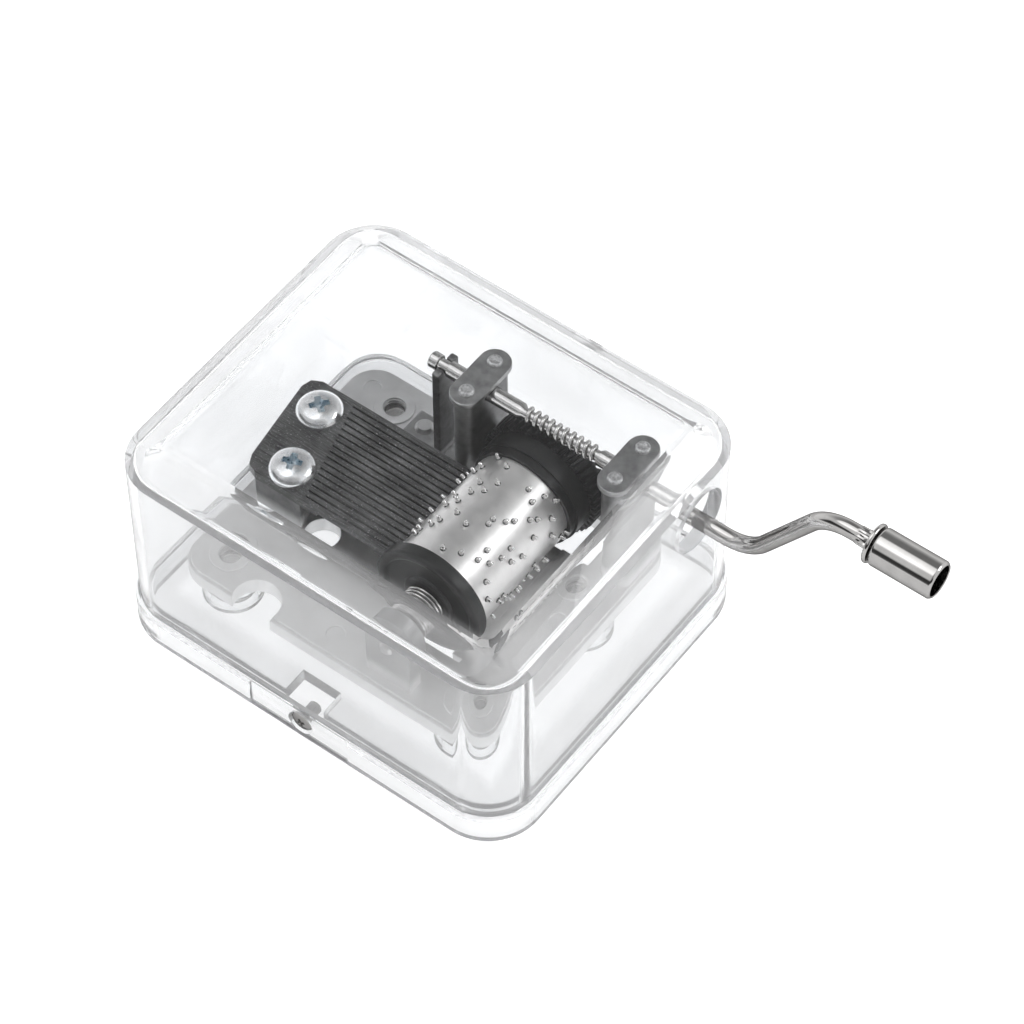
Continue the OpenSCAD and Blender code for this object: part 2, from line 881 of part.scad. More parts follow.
upper_case();
base_tray();
side_screws();
movement_screws();
bedplate();
comb();
comb_weights();
comb_screws();
bearing_caps();
cap_rivets();
thrust_fork();
fork_rivet();
drum_sleeve();
drum_pins();
drum_end_cap();
worm_wheel();
drum_arbor();
arbor_spring();
crank_shaft();
worm_thread();
handle_washer();
handle_rivet();
handle();
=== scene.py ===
# %% [markdown]
# # A clear hand-crank music box
# A small movement sits in a clear plastic case: a pinned drum turned by a worm,
# a steel comb, and a bent wire crank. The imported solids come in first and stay
# where they are. What follows dresses them: better finishes for the plain solids,
# and finer pieces where the real ones have soft edges, dimples or windings.

# %% Load the frame
import json
import math

import bmesh
import bpy
from mathutils import Matrix, Vector


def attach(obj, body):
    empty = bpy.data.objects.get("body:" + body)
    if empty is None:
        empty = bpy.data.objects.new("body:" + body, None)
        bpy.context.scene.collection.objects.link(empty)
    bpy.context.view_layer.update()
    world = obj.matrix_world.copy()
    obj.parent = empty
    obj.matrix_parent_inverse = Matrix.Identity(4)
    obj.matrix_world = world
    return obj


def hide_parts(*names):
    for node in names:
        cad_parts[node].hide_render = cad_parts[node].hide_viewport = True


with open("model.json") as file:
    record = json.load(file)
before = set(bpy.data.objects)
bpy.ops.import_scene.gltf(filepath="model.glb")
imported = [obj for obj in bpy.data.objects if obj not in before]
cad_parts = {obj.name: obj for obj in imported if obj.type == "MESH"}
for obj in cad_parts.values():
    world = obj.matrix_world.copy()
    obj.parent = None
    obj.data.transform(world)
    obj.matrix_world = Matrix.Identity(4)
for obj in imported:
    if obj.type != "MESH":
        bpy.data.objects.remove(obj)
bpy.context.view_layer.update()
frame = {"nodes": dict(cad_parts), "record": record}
nodes = frame["nodes"]
MM = 0.001

# %% [markdown]
# ## The camera
# The box is seen from the front right, from about 53 degrees up, with a long lens.
# A long lens keeps the case's edges nearly parallel. The camera stands off from a
# point low in the case, and two small side steps put the box left of the middle.

# %% Camera
AZIMUTH, ELEVATION, ROLL = math.radians(37.03), math.radians(53.25), math.radians(0.16)
AIM_Z, DISTANCE = 16.43, 520.7                       # the point looked at, and how far off, mm
SIDE_STEP, UP_STEP = 10.09, 1.41
SENSOR, LENS = 36, 148.27
away = Vector((math.sin(AZIMUTH) * math.cos(ELEVATION),
               -math.cos(AZIMUTH) * math.cos(ELEVATION), math.sin(ELEVATION)))
level = Vector((math.cos(AZIMUTH), math.sin(AZIMUTH), 0))
tilt = away.cross(level)
right = level * math.cos(ROLL) - tilt * math.sin(ROLL)
up = level * math.sin(ROLL) + tilt * math.cos(ROLL)
place = Vector((0, 0, AIM_Z)) + away * DISTANCE + right * SIDE_STEP + up * UP_STEP

camera_data = bpy.data.cameras.new("camera")
camera_data.sensor_width = SENSOR
camera_data.lens = LENS
camera_data.clip_start, camera_data.clip_end = 0.01, 20      # metres
camera = bpy.data.objects.new("camera", camera_data)
turn = Matrix((right, up, away)).transposed().to_4x4()
camera.matrix_world = Matrix.Translation(place * MM) @ turn
bpy.context.scene.collection.objects.link(camera)
bpy.context.scene.camera = camera
print("camera mm:", [round(v, 1) for v in place])

# %% [markdown]
# ## Shader maths
# A pattern is a sum of noises, waves and masks. Written as nodes by hand that is
# long, so one small class wraps a socket and lets plain Python operators add the
# Math nodes. Any other node comes from one method that takes its type, settings
# and inputs.

# %% Socket maths
class Value:
    """A number flowing through a material's nodes."""

    def __init__(self, book, socket):
        self.book, self.socket = book, socket

    def _join(self, kind, first, second):
        node = self.book.tree.nodes.new("ShaderNodeMath")
        node.operation = kind
        for slot, item in zip(node.inputs, (first, second)):
            self.book.feed(slot, item)
        return Value(self.book, node.outputs[0])

    def __add__(self, other): return self._join("ADD", self, other)
    def __radd__(self, other): return self._join("ADD", other, self)
    def __sub__(self, other): return self._join("SUBTRACT", self, other)
    def __rsub__(self, other): return self._join("SUBTRACT", other, self)
    def __mul__(self, other): return self._join("MULTIPLY", self, other)
    def __pow__(self, other): return self._join("POWER", self, other)
    def size(self): return self._join("ABSOLUTE", self, 0.0)
    def at_least(self, other): return self._join("MAXIMUM", self, other)


class Book:
    """A node tree and the helpers that write in it."""

    def __init__(self, tree, place):
        self.tree = tree
        self.place = self.node("ShaderNodeTexCoord").outputs[place]

    def feed(self, slot, item):
        if isinstance(item, Value):
            item = item.socket
        if isinstance(item, bpy.types.NodeSocket):
            self.tree.links.new(item, slot)
        else:
            slot.default_value = item

    def node(self, kind, settings=None, **inputs):
        made = self.tree.nodes.new(kind)
        for key, item in (settings or {}).items():
            if key == "stops":
                ramp = made.color_ramp
                while len(ramp.elements) < len(item):
                    ramp.elements.new(0.5)
                for element, (at, colour) in zip(ramp.elements, item):
                    element.position = at
                    element.color = (*colour, 1)
            else:
                setattr(made, key, item)
        for key, item in inputs.items():
            self.feed(made.inputs[key.replace("_", " ")], item)
        return made

    def stretched(self, x=1.0, y=1.0, z=1.0):
        return self.node("ShaderNodeMapping", Vector=self.place, Scale=(x, y, z)).outputs[0]

    def noise(self, size, detail=3.0, vector=None):
        made = self.node("ShaderNodeTexNoise", Vector=vector or self.place,
                         Scale=1 / size, Detail=detail)
        return Value(self, made.outputs["Fac"])

    def axis(self, name):
        made = self.node("ShaderNodeSeparateXYZ", Vector=self.place)
        return Value(self, made.outputs[name])

    def facing(self, direction):
        """How nearly the place vector points along a direction, from -1 to 1."""
        unit = Vector(direction).normalized()
        made = self.node("ShaderNodeVectorMath", {"operation": "DOT_PRODUCT"})
        self.feed(made.inputs[0], self.place)
        made.inputs[1].default_value = unit
        return Value(self, made.outputs["Value"])

    def ramp(self, value, *stops):
        made = self.node("ShaderNodeValToRGB", {"stops": stops}, Fac=value)
        return made.outputs["Color"]

    def spread(self, value, low, high, out_low, out_high, kind="LINEAR"):
        made = self.node("ShaderNodeMapRange", {"interpolation_type": kind}, Value=value)
        ends = {"From Min": low, "From Max": high, "To Min": out_low, "To Max": out_high}
        for key, item in ends.items():
            made.inputs[key].default_value = item
        return Value(self, made.outputs[0])


NOISE_SPAN = 0.3, 0.7                    # nearly all of a noise's values lie between these


class Finish(Book):
    """One material, with its shader."""

    def __init__(self, name, **constants):
        self.material = bpy.data.materials.new(name)
        self.material.use_nodes = True
        self.material.node_tree.nodes.clear()
        super().__init__(self.material.node_tree, "Object")
        self.out = self.node("ShaderNodeOutputMaterial")
        self.shader = self.node("ShaderNodeBsdfPrincipled")
        self.tree.links.new(self.shader.outputs[0], self.out.inputs[0])
        for key, item in constants.items():
            self.shader.inputs[key.replace("_", " ")].default_value = item

    def bump(self, height, depth, strength=1.0):
        made = self.node("ShaderNodeBump", Height=height, Strength=strength, Distance=depth)
        self.feed(self.shader.inputs["Normal"], made.outputs[0])

    def colour(self, value, *stops):
        self.feed(self.shader.inputs["Base Color"], self.ramp(value, *stops))

    def rough(self, value, smooth, dull, span=NOISE_SPAN):
        self.feed(self.shader.inputs["Roughness"], self.spread(value, *span, smooth, dull))

    def by_height(self, low, high, below, above, kind="SMOOTHSTEP"):
        """A number that changes between two heights, given in mm."""
        return self.spread(self.axis("Z"), low * MM, high * MM, below, above, kind)


def grey(level, warm=0.0):
    """A linear grey, a little warm or cold."""
    return (level * (1 + warm), level, level * (1 - warm))


# %% [markdown]
# ## Finishes
# Clear polystyrene is a smooth shell that bends light. The plate is die cast zinc
# with a faint orange peel. The comb is ground and blackened steel. The drum is a
# nickel plated tube turned on a lathe, so its fine lines run round it.

# %% Places that finishes and pieces share
DRUM_X, DRUM_Z, DRUM_R = 6.95, 15.9, 6.9             # the drum's axis and radius, mm
SHAFT_Y, SHAFT_Z = 14.8, 25.2006                     # the crank shaft's axis
POST_X = DRUM_X - 10.25, DRUM_X + 12.3               # the two posts that carry the shaft
HAZE_X, HAZE_Y = (23.2, 25.2), (18.9, 20.9)          # from the middle: the haze fades in here
HAZE_ROOF, HAZE_WALLS = 0.004, 0.18
print("shaft above drum, mm:", round(SHAFT_Z - DRUM_Z, 2))

# %% Clear plastic
def clear_plastic():
    f = Finish("clear_polystyrene", Transmission_Weight=1.0, IOR=1.49, Roughness=0.0)
    f.shader.inputs["Base Color"].default_value = (0.985, 0.992, 1.0, 1)
    wave = f.noise(9 * MM, detail=1.0)
    f.bump(wave, 0.02 * MM, 0.35)
    haze = f.node("ShaderNodeBsdfPrincipled", Roughness=0.35)
    haze.inputs["Base Color"].default_value = (0.94, 0.94, 0.95, 1)
    mix = f.node("ShaderNodeMixShader")
    across, along = (f.spread(f.axis(name).size(), near * MM, far * MM, 0.0, 1.0, "SMOOTHSTEP")
                     for name, (near, far) in (("X", HAZE_X), ("Y", HAZE_Y)))
    cloud = f.spread(f.noise(11 * MM, detail=1.0), *NOISE_SPAN, 0.85, 1.15)
    walls = across.at_least(along) * HAZE_WALLS + HAZE_ROOF
    f.feed(mix.inputs["Fac"], walls * cloud)
    f.tree.links.new(f.shader.outputs[0], mix.inputs[1])
    f.tree.links.new(haze.outputs[0], mix.inputs[2])
    f.tree.links.new(mix.outputs[0], f.out.inputs[0])
    return f.material


# %% Metals and black plastic
def cast_zinc():
    f = Finish("cast_zinc", Metallic=1.0)
    cloud = f.noise(3.0 * MM, detail=4.0)
    peel = f.noise(0.35 * MM, detail=2.0)
    low = f.by_height(9.5, 12, 0.58, 0.0)            # painted light and shade: the plate is painted bright, the posts above it dark
    high = f.by_height(25.6, 26.2, 0.0, 0.25)        # and their tops catch light again
    f.colour(low + high + cloud * 0.4, (0.1, grey(0.16)), (0.8, grey(0.84)))
    f.rough(peel, 0.36, 0.54)
    f.bump(peel + cloud * 0.6, 0.02 * MM, 0.5)
    return f.material


def comb_steel():
    f = Finish("comb_steel", Metallic=0.85)
    lines = f.noise(0.08 * MM, detail=2.0, vector=f.stretched(0.03, 1, 1))
    cloud = f.noise(4 * MM)
    specks = f.spread(f.noise(0.16 * MM, detail=0.0), 0.76, 0.8, 0.0, 1.0)
    f.colour(lines * 0.6 + cloud * 0.4 + specks,
             (0.35, grey(0.06)), (0.65, grey(0.27)), (0.9, grey(0.8)))
    f.rough(lines, 0.34, 0.5)
    f.bump(lines, 0.01 * MM, 0.3)
    return f.material


def dark_plated():
    f = Finish("dark_plated_steel", Metallic=1.0)
    cloud = f.noise(1.2 * MM, detail=4.0)
    # painted light: above 24.6 mm the caps and the fork's top are painted lighter; below 10.6 mm it is
    # lighter too
    high = f.by_height(24.6, 26.4, 0.0, 0.37)
    low = f.by_height(9.9, 10.6, 0.5, 0.0, "LINEAR")
    f.colour(cloud * 0.5 + high + low, (0.15, grey(0.08)), (0.35, grey(0.17)), (0.85, grey(0.6)))
    f.rough(cloud, 0.3, 0.42)
    return f.material


def bright_nickel(name, low, high, rough):
    """Bright nickel that dulls a little at grazing angles, as thin plating over steel does."""
    f = Finish(name, Metallic=1.0)
    f.shader.inputs["Specular Tint"].default_value = (0.25, 0.25, 0.25, 1)
    cloud = f.noise(2.0 * MM, detail=3.0)
    f.colour(cloud, (0.3, grey(low, 0.016)), (0.7, grey(high, 0.016)))
    f.rough(cloud, rough, rough * 1.8)
    return f.material


def pin_wire():
    f = Finish("pin_wire", Metallic=1.0)
    cloud = f.noise(0.4 * MM, detail=1.0)
    out = ((f.axis("X") - DRUM_X * MM) ** 2.0 + (f.axis("Z") - DRUM_Z * MM) ** 2.0) ** 0.5
    # painted shade: the pin is painted dark at its foot, where it meets the drum
    foot = f.spread(out, (DRUM_R + 0.05) * MM, (DRUM_R + 0.2) * MM, 0.0, 1.0)
    f.colour(foot * (0.85 + cloud * 0.3), (0.2, grey(0.1)), (0.9, grey(0.84, 0.012)))
    f.rough(cloud, 0.16, 0.26)
    return f.material


def drum_nickel():
    f = Finish("drum_nickel", Metallic=1.0)
    lines = f.noise(0.12 * MM, detail=3.0, vector=f.stretched(0.05, 1, 0.05))
    cloud = f.noise(1.6 * MM, detail=4.0)
    f.colour(cloud, (0.3, grey(0.78, 0.015)), (0.7, grey(0.9, 0.015)))
    f.rough(lines + cloud * 0.5, 0.33, 0.46, span=(0.5, 1.0))
    f.bump(lines, 0.01 * MM, 0.3)
    return f.material


def blue_zinc():
    f = Finish("blue_zinc", Metallic=1.0)
    cloud = f.noise(1.3 * MM, detail=2.0)
    f.colour(cloud, (0.3, (0.8, 0.82, 0.84)), (0.5, (0.9, 0.9, 0.9)), (0.7, (0.86, 0.88, 0.9)))
    f.rough(cloud, 0.16, 0.22)
    return f.material


def screw_recess_shade():
    f = Finish("recess_zinc_painted_shade", Metallic=1.0)
    # bluish zinc, partly its own tone and partly painted shade: darker than the head
    cloud = f.noise(0.6 * MM, detail=1.0)
    f.colour(cloud, (0.3, (0.36, 0.48, 0.55)), (0.6, (0.8, 0.86, 0.9)))
    f.rough(cloud, 0.2, 0.4)
    return f.material


def peened_rivet():
    f = Finish("peened_rivet", Metallic=1.0)
    dents = f.noise(0.3 * MM, detail=3.0)
    f.colour(dents, (0.3, grey(0.42)), (0.7, grey(0.8)))
    f.rough(dents, 0.3, 0.5)
    f.bump(dents, 0.05 * MM, 0.8)
    return f.material


def lead_grey():
    f = Finish("lead_grey", Metallic=0.8, Roughness=0.6)
    cloud = f.noise(0.5 * MM, detail=2.0)
    f.colour(cloud, (0.3, grey(0.16)), (0.7, grey(0.26)))
    return f.material


def black_acetal():
    f = Finish("black_acetal")
    dust = f.noise(0.12 * MM, detail=2.0)
    cloud = f.noise(2 * MM)
    f.colour(dust, (0.5, grey(0.012)), (0.7, grey(0.025)), (0.77, grey(0.2)))
    f.rough(cloud, 0.34, 0.5)
    f.bump(dust, 0.01 * MM, 0.3)
    return f.material


finishes = {
    "clear_case": clear_plastic(), "zinc_casting": cast_zinc(), "comb_steel": comb_steel(),
    "dark_steel": dark_plated(), "lead_weight": lead_grey(), "blue_zinc": blue_zinc(),
    "nickel": bright_nickel("bright_nickel", 0.5, 0.6, 0.07), "drum_nickel": drum_nickel(),
    "pin_steel": pin_wire(), "black_plastic": black_acetal(),
}
rivet_finish = peened_rivet()
recess_shade_finish = screw_recess_shade()
thread_finish = bright_nickel("rolled_thread", 0.5, 0.75, 0.12)
wire_finish = bright_nickel("drawn_wire", 0.48, 0.6, 0.05)
slots = {p["node"]: p["material_slot"] for p in frame["record"]["subparts"]}
for name, obj in nodes.items():
    obj.data.materials.clear()
    obj.data.materials.append(finishes[slots[name]])
print("finishes:", len(finishes))

# %% [markdown]
# ## The cover
# The real cover is one moulding: rounded upright corners, a steep bevel, then four
# gentle roof slopes that meet in mitres round a flat window. A rounded block gets
# its corner bevel from two insets, four planes cut the slopes, and the sharp lines
# are softened, because soft edges are what catch the light on clear plastic.

# %% Helpers for meshes
def even_normals(obj):
    """Let the large flat faces set the normals next to small bevels."""
    made = obj.modifiers.new("even_normals", "WEIGHTED_NORMAL")
    made.keep_sharp = True
    made.weight = 100
    return obj


def join(target, extra):
    """Add one bmesh to another."""
    mesh = bpy.data.meshes.new("join")
    extra.to_mesh(mesh)
    target.from_mesh(mesh)
    bpy.data.meshes.remove(mesh)
    extra.free()


def aim(bm, direction, at, twist=0.0):
    """Turn a mesh made along Z to a direction, and put it in its place."""
    face = Vector((0, 0, 1)).rotation_difference(Vector(direction)).to_matrix()
    turn = face @ Matrix.Rotation(twist, 3, "Z")
    bmesh.ops.rotate(bm, cent=(0, 0, 0), matrix=turn, verts=bm.verts)
    bmesh.ops.translate(bm, vec=at, verts=bm.verts)
    return bm


def to_metres(bm):
    bmesh.ops.scale(bm, vec=(MM, MM, MM), verts=bm.verts)


def finish_mesh(bm, name, body, slot, smooth_angle=30, replaces=()):
    """Turn a bmesh in mm into a piece that rides on a body."""
    to_metres(bm)
    mesh = bpy.data.meshes.new(name)
    bm.normal_update()
    bm.to_mesh(mesh)
    bm.free()
    mesh.shade_smooth()
    mesh.set_sharp_from_angle(angle=math.radians(smooth_angle))
    mesh.materials.append(finishes[slot])
    obj = bpy.data.objects.new(name, mesh)
    bpy.context.scene.collection.objects.link(obj)
    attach(obj, body)
    if replaces:
        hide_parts(*replaces)
    return even_normals(obj)


def bevel(bm, edges, offset, steps, clamp=True):
    bmesh.ops.bevel(bm, geom=edges, offset=offset, offset_type="OFFSET", affect="EDGES",
                    segments=steps, profile=0.5, material=-1, clamp_overlap=clamp)


def block(low, high):
    bm = bmesh.new()
    bmesh.ops.create_cube(bm, size=1.0)
    size = [b - a for a, b in zip(low, high)]
    bmesh.ops.scale(bm, vec=size, verts=bm.verts)
    bmesh.ops.translate(bm, vec=[(a + b) / 2 for a, b in zip(low, high)], verts=bm.verts)
    return bm


# %% Cover shell
CASE_L, CASE_W, CASE_H, WALL = 60.0, 51.3, 34.4, 1.9
JOINT_Z, EDGE_Z = 5.2, 31.3                          # where the walls start and end
SLOPE_LIFT, SLOPE_RUN = 0.29, 5.3                    # where the roof's slopes start, and their reach
INNER_Z, INNER_BEVEL, INNER_RISE = 30.45, 3.4, 1.8   # the edge inside, and the bevel above it
HOLE_R, HOLE_AT = 4.55, (29, 14.8, 25.2)             # where the crank passes the end wall


def rounded_box(length, width, radius, low, high, steps):
    """A block with rounded upright corners; returns it with its top face."""
    bm = block((-length / 2, -width / 2, low), (length / 2, width / 2, high))
    upright = [e for e in bm.edges if abs(e.verts[0].co.z - e.verts[1].co.z) > 1]
    bevel(bm, upright, radius, steps)
    return bm, max(bm.faces, key=lambda f: f.calc_center_median().z)


def slice_sides(bm, length, width, at, up, inward):
    """Cut a slope off all four sides, from height `at` on the wall, rising by up over inward."""
    lean = math.atan2(up, inward)
    for side in range(4):
        turn = Matrix.Rotation(side * math.pi / 2, 3, "Z")
        point = turn @ Vector(((length if side % 2 == 0 else width) / 2, 0, at))
        normal = turn @ Vector((math.sin(lean), 0, math.cos(lean)))
        cut = bmesh.ops.bisect_plane(bm, geom=bm.verts[:] + bm.edges[:] + bm.faces[:], dist=1e-5,
                                     plane_co=point, plane_no=normal, clear_outer=True)
        rim = [g for g in cut["geom_cut"] if isinstance(g, bmesh.types.BMEdge)]
        if rim:
            bmesh.ops.edgeloop_fill(bm, edges=rim)


def open_below(bm, soft):
    """Take the bottom off and soften every crease."""
    bmesh.ops.remove_doubles(bm, verts=bm.verts, dist=1e-4)
    bottom = min(bm.faces, key=lambda f: f.calc_center_median().z)
    bmesh.ops.delete(bm, geom=[bottom], context="FACES_ONLY")
    crease = [e for e in bm.edges if len(e.link_faces) == 2 and e.calc_face_angle(0) > math.radians(8)]
    bevel(bm, crease, soft, 3)
    bmesh.ops.remove_doubles(bm, verts=bm.verts, dist=0.01)
    bmesh.ops.dissolve_degenerate(bm, edges=bm.edges, dist=0.005)
    return bm


def outer_skin():
    bm, top = rounded_box(CASE_L, CASE_W, 7.0, JOINT_Z, EDGE_Z, 16)
    for step, rise in ((3.0, 2.5), (2.63, 0.6)):
        bmesh.ops.inset_region(bm, faces=[top], thickness=step, use_even_offset=True)
        bmesh.ops.translate(bm, vec=(0, 0, rise), verts=top.verts)
    slice_sides(bm, CASE_L, CASE_W, EDGE_Z + SLOPE_LIFT, CASE_H - EDGE_Z - SLOPE_LIFT, SLOPE_RUN)
    return open_below(bm, 0.22)


def inner_skin(corner, soft):
    """The inside: its bevel runs parallel to the roof's slopes, its corners are a little tighter."""
    bm, top = rounded_box(CASE_L - 2 * WALL, CASE_W - 2 * WALL, corner, JOINT_Z, INNER_Z, 12)
    bmesh.ops.inset_region(bm, faces=[top], thickness=INNER_BEVEL, use_even_offset=True)
    bmesh.ops.translate(bm, vec=(0, 0, INNER_RISE), verts=top.verts)
    return open_below(bm, soft)


outer = outer_skin()
inner = inner_skin(corner=4.5, soft=0.6)
bmesh.ops.reverse_faces(inner, faces=inner.faces)
print("cover skins:", len(outer.faces), len(inner.faces))


join(outer, inner)
rims = [e for e in outer.edges if len(e.link_faces) == 1]
bmesh.ops.bridge_loops(outer, edges=rims)
bmesh.ops.recalc_face_normals(outer, faces=outer.faces)
cover = finish_mesh(outer, "cover_shell", "case", "clear_case", 35, replaces=("upper_case",))


def cut_away(obj, cutter):
    """Subtract one bmesh from a piece and keep only the result."""
    mesh = bpy.data.meshes.new("cutter")
    cutter.to_mesh(mesh)
    cutter.free()
    tool = bpy.data.objects.new("cutter", mesh)
    bpy.context.scene.collection.objects.link(tool)
    cut = obj.modifiers.new("cut", "BOOLEAN")
    cut.object, cut.operation, cut.solver = tool, "DIFFERENCE", "EXACT"
    bpy.context.view_layer.update()
    whole = obj.evaluated_get(bpy.context.evaluated_depsgraph_get())
    fresh = bpy.data.meshes.new_from_object(whole)
    obj.modifiers.remove(cut)
    obj.data = fresh
    bpy.data.objects.remove(tool)
    bpy.data.meshes.remove(mesh)


hole = bmesh.new()
bmesh.ops.create_cone(hole, cap_ends=True, segments=64, radius1=HOLE_R, radius2=HOLE_R, depth=8)
bmesh.ops.rotate(hole, cent=(0, 0, 0), matrix=Matrix.Rotation(math.pi / 2, 3, "Y"), verts=hole.verts)
bmesh.ops.translate(hole, vec=HOLE_AT, verts=hole.verts)
to_metres(hole)
cut_away(cover, hole)
cover.data.set_sharp_from_angle(angle=math.radians(35))
print("cover:", len(cover.data.polygons), "faces")

# %% Helpers for turned and soft-edged parts
def lathe(profile, steps=48):
    """Spin a line of (radius, height) points round Z."""
    bm = bmesh.new()
    points = [bm.verts.new((radius, 0, height)) for radius, height in profile]
    lines = [bm.edges.new(pair) for pair in zip(points, points[1:])]
    bmesh.ops.spin(bm, geom=points + lines, cent=(0, 0, 0), axis=(0, 0, 1), dvec=(0, 0, 0),
                   angle=2 * math.pi, steps=steps, use_merge=True)
    bmesh.ops.remove_doubles(bm, verts=bm.verts, dist=1e-4)
    bmesh.ops.recalc_face_normals(bm, faces=bm.faces)
    return bm


SHARP = math.radians(40)


def soft_copy(node, name, slot, offset, steps=2, keep=None, pads=()):
    """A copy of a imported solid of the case, with its sharp edges rounded and any pads added."""
    bm = bmesh.new()
    bm.from_mesh(nodes[node].data)
    bmesh.ops.scale(bm, vec=(1000, 1000, 1000), verts=bm.verts)
    bmesh.ops.remove_doubles(bm, verts=bm.verts, dist=2e-3)
    bmesh.ops.dissolve_limit(bm, angle_limit=math.radians(1), verts=bm.verts, edges=bm.edges)
    for low, high in pads:
        join(bm, block(low, high))
    sharp = [e for e in bm.edges if len(e.link_faces) == 2 and e.is_convex
             and e.calc_face_angle(0) > SHARP and (keep is None or keep(e))]
    bevel(bm, sharp, offset, steps, clamp=False)
    print(name, "softened edges:", len(sharp), "faces:", len(bm.faces))
    finish_mesh(bm, name, "case", slot, replaces=(node,))


# %% [markdown]
# ## Plate, tray, comb and bearing caps
# A casting and a moulding never have knife edges: the mould rounds them, and the
# small radius is what shows as a thin bright line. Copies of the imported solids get
# every outward edge rounded. The comb is ground, so only its top edges are broken.

# %% Castings and stampings
def is_top_edge(edge):
    return any(f.normal.z > 0.9 for f in edge.link_faces)


LIP = ((11.0, -9.9, 6.5), (12.8, 10.4, 8.95))        # narrows the plate's opening
soft_copy("base_tray", "tray_shell", "clear_case", 0.14)
soft_copy("bedplate", "movement_plate", "zinc_casting", 0.13, pads=(LIP,))
soft_copy("comb", "comb_plate", "comb_steel", 0.06, steps=1, keep=is_top_edge)
soft_copy("bearing_caps", "cap_plates", "dark_steel", 0.16)
soft_copy("thrust_fork", "fork_plate", "dark_steel", 0.22)

# %% [markdown]
# ## Screws
# Each screw is a turned pan head with a rounded rim. A punch drives in the recess,
# so its walls taper. It could be modelled face by face, but cutting it is shorter:
# two crossed wedges, and two small ones between them.

# %% Screws
def wedge(width, thick, deep, turn):
    """One tapered arm of the recess, from z = 0.5 above to its floor below."""
    bm = block((-width / 2, -thick / 2, -deep), (width / 2, thick / 2, 0.5))
    foot = [v for v in bm.verts if v.co.z < 0]
    bmesh.ops.scale(bm, vec=(0.45, 0.6, 1), verts=foot)
    bmesh.ops.rotate(bm, cent=(0, 0, 0), matrix=Matrix.Rotation(turn, 3, "Z"), verts=bm.verts)
    return bm


DOME = 0.94                                          # the dome's radius as a share of the head's
BIG, SMALL = 1, 0.62                                 # the recess's main and lesser arms


def pan_screw(head_r, side, dome, shank_r, shank_l, recess, twist):
    """A pan head with its recess: seat at z = 0, head up, shank down."""
    rim = 0.22 * side / 0.9
    profile = [(0, -shank_l), (shank_r - 0.2, -shank_l), (shank_r, -shank_l + 0.2), (shank_r, 0),
               (head_r - rim, 0), (head_r - rim * 0.3, rim * 0.3), (head_r, rim),
               (head_r, side - rim), (head_r - rim * 0.35, side - rim * 0.3)]
    for a in (math.radians(d) for d in range(10, 90, 16)):
        profile.append((head_r * math.cos(a) * DOME, side + dome * math.sin(a)))
    profile.append((0, side + dome))
    head = lathe(profile)
    mesh = bpy.data.meshes.new("screw")
    head.to_mesh(mesh)
    head.free()
    blank = bpy.data.objects.new("screw", mesh)
    bpy.context.scene.collection.objects.link(blank)
    for turn, size in ((0, BIG), (math.pi / 2, BIG), (math.pi / 4, SMALL), (-math.pi / 4, SMALL)):
        thick = recess * (0.3 if size == BIG else 0.16)
        arm = wedge(recess * size, thick, recess * 0.36 * size, turn + twist)
        bmesh.ops.translate(arm, vec=(0, 0, side + dome), verts=arm.verts)
        cut_away(blank, arm)
    bm = bmesh.new()
    bm.from_mesh(blank.data)
    bpy.data.objects.remove(blank)
    for face in bm.faces:                            # faces sunk below the dome get the recess's finish; for the comb screws it is painted darker, as shade
        x, y, z = face.calc_center_median()
        out = math.hypot(x, y) / (head_r * DOME)
        if out < 0.62 and side * 0.2 < z < side + dome * math.sqrt(1 - out * out) - 0.05:
            face.material_index = 1
    return bm


LEFT_X = WALL - CASE_L / 2
COMB_TOP = 15.5
SIDE_SEAT_Y = CASE_W / 2 + 0.6 - 0.35 - 0.9          # the side screws' seats, inside the tray's face
MOUNTS = tuple((LEFT_X + x, y) for x, y in ((10.2, 15.6), (7.6, -13.2), (44.5, -13.2), (44.9, 7.2)))
UP, DOWN = (0, 0, 1), (0, 0, -1)


def screw_group(name, slot, replaces, recess_material, size, places):
    """Screws of one size, each at a place, a direction and a turn of its recess."""
    group = bmesh.new()
    for at, direction, twist in places:
        join(group, aim(pan_screw(*size, twist), direction, at))
    made = finish_mesh(group, name, "case", slot, 32, replaces=replaces)
    made.data.materials.append(recess_material)
    print(name, "faces:", len(made.data.polygons))


# sizes are head radius, side, dome, shank radius, shank length and recess
screw_group("comb_screw_heads", "blue_zinc", ("comb_screws",), recess_shade_finish,
            (3.1, 0.9, 1.05, 1.5, 6.5, 3.3),
            (((LEFT_X + 9.3, -3.7, COMB_TOP), UP, 0.35), ((LEFT_X + 6.4, 5.4, COMB_TOP), UP, 0.9)))
screw_group("side_screw_heads", "nickel", ("side_screws",), wire_finish,
            (1.6, 0.55, 0.3, 0.9, 3.6, 1.7),
            [((-0.6, side * SIDE_SEAT_Y, 2.6), (0, side, 0), 0.4) for side in (1, -1)])
screw_group("mount_screws", "nickel", ("movement_screws",), wire_finish,
            (2.6, 1.2, 0.5, 1.5, 5.1, 2.9),
            [((*at, 3.0), DOWN, 0.5) for at in MOUNTS])

# %% [markdown]
# ## Rivets and threaded holes
# The caps are held by pegs of the casting itself, hammered over, so their heads are
# uneven: a turned head with a dented finish. A threaded hole shows as a few dark
# rings, and a helix set in the hole is enough for them. The helix takes the darker
# plated-steel finish rather than the casting's zinc, as painted shade in the hole.

